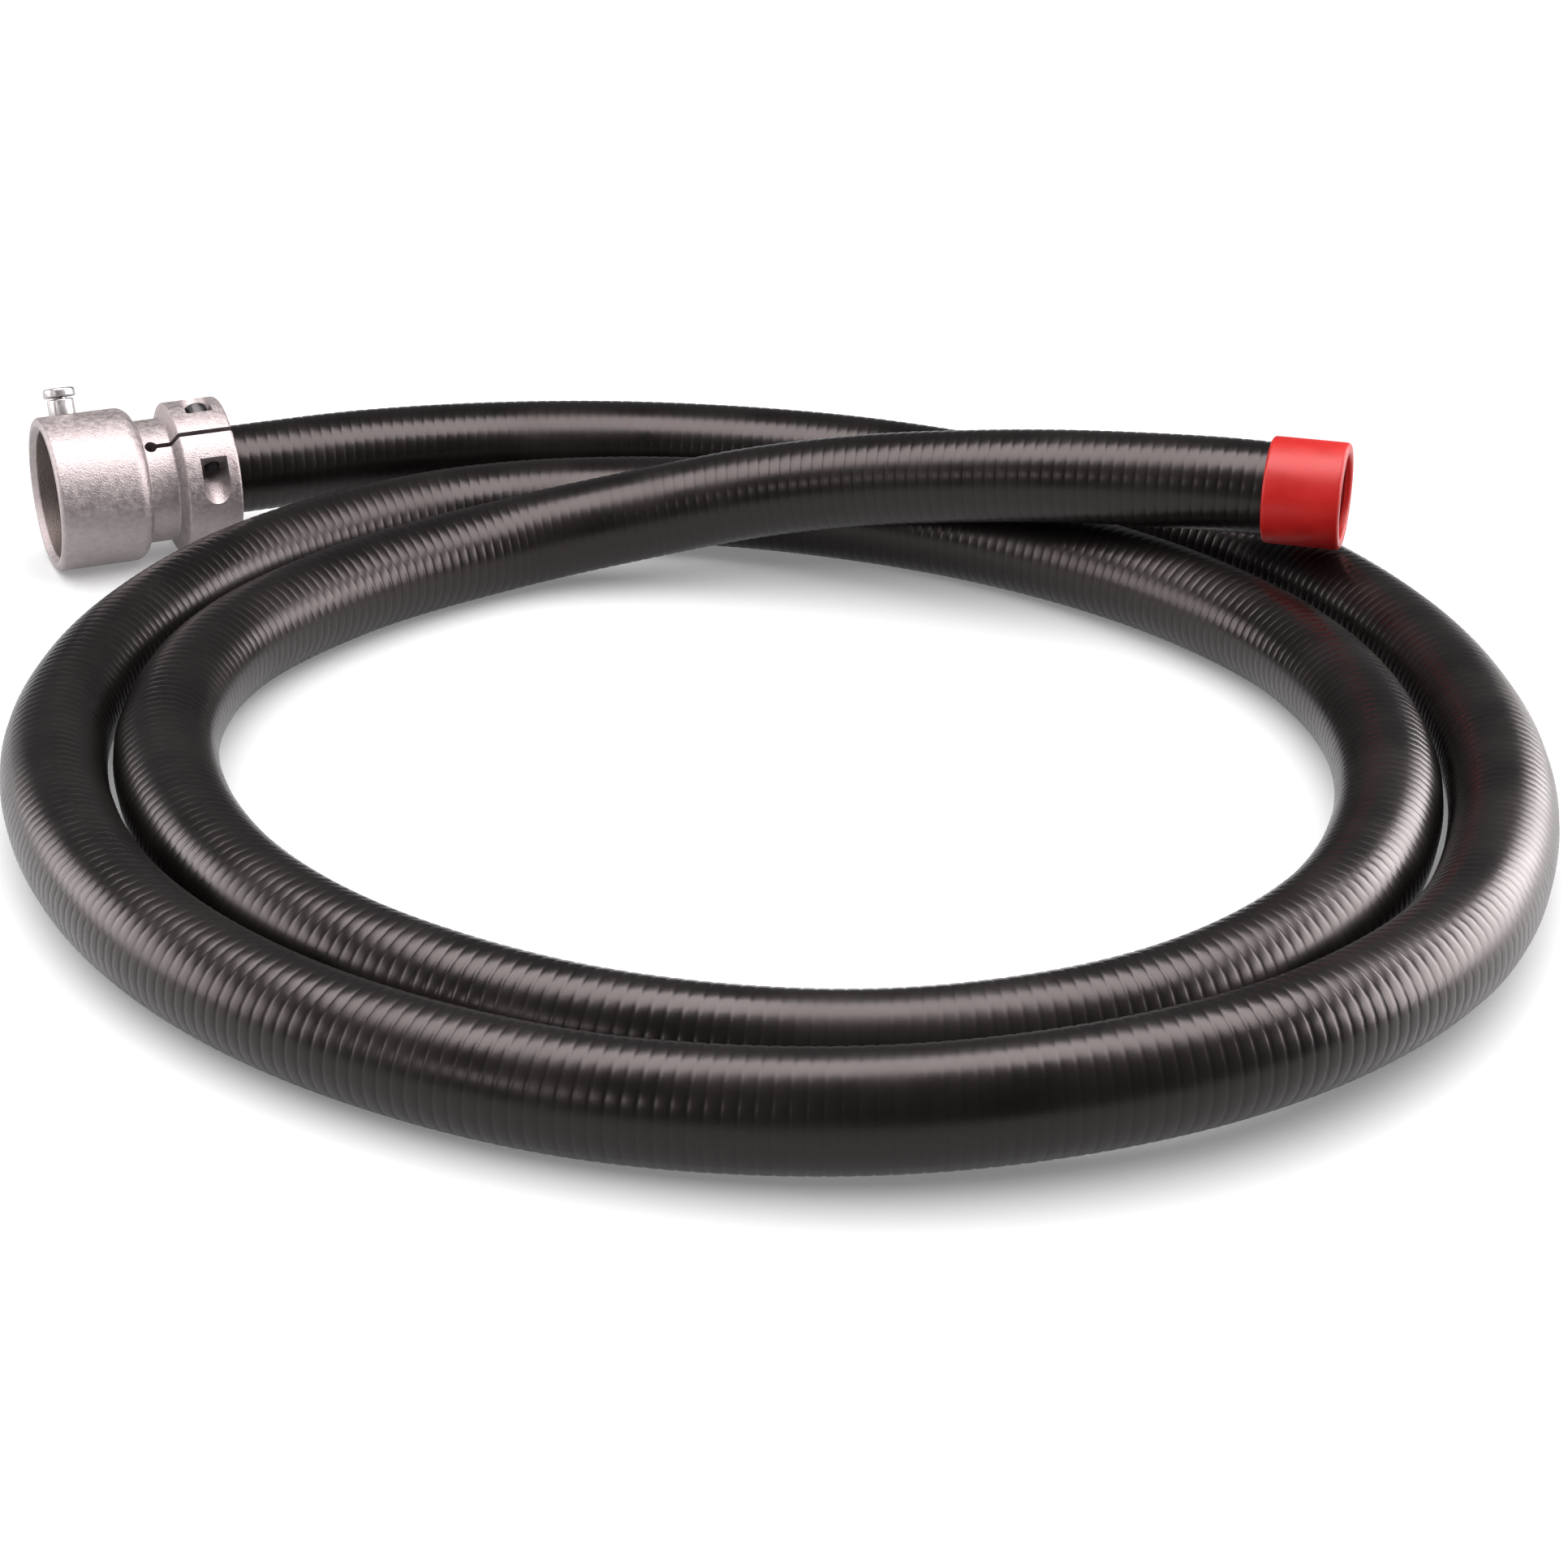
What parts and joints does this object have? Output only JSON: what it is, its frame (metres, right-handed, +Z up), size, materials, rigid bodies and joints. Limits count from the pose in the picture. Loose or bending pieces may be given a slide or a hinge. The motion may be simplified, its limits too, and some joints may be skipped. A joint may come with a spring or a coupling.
{
  "type": "guide hose",
  "caption": "Coiled ribbed plastic-covered steel guide hose with a split clamp coupling and lock pin on one end and a soft cap on the other.",
  "frame": {"origin": "on the floor, under the middle of the coil's bounding box", "axes": "+Z up from the floor; +X to the right and +Y to the back as the picture shows the coil, whose two ends lie at the back"},
  "size_m": [0.6004, 0.6048, 0.0833],
  "materials": {
    "black_pvc": "semi-gloss extruded PVC with a fine spiral rib",
    "lining_steel": "zinc-coated steel strip",
    "cast_aluminium": "satin casting, turned on its faces",
    "black_steel": "blackened steel",
    "bright_steel": "bright plated steel",
    "red_vinyl": "glossy soft vinyl"
  },
  "bodies": {
    "hose": {"hose_jacket": "black_pvc", "hose_lining": "lining_steel", "coupling_body": "cast_aluminium", "clamp_screw": "black_steel", "pin_sleeve": "bright_steel", "end_cap": "red_vinyl"},
    "lock_pin": {"lock_pin": "bright_steel"}
  },
  "joints": [
    {"name": "lock_pin_pull", "type": "slide", "parent": "hose", "child": "lock_pin", "axis": [-0.1455, 0.3452, 0.9272], "range_m": [0, 0.0045], "stiffness_N_per_m": 800, "springref_m": -0.004}
  ]
}
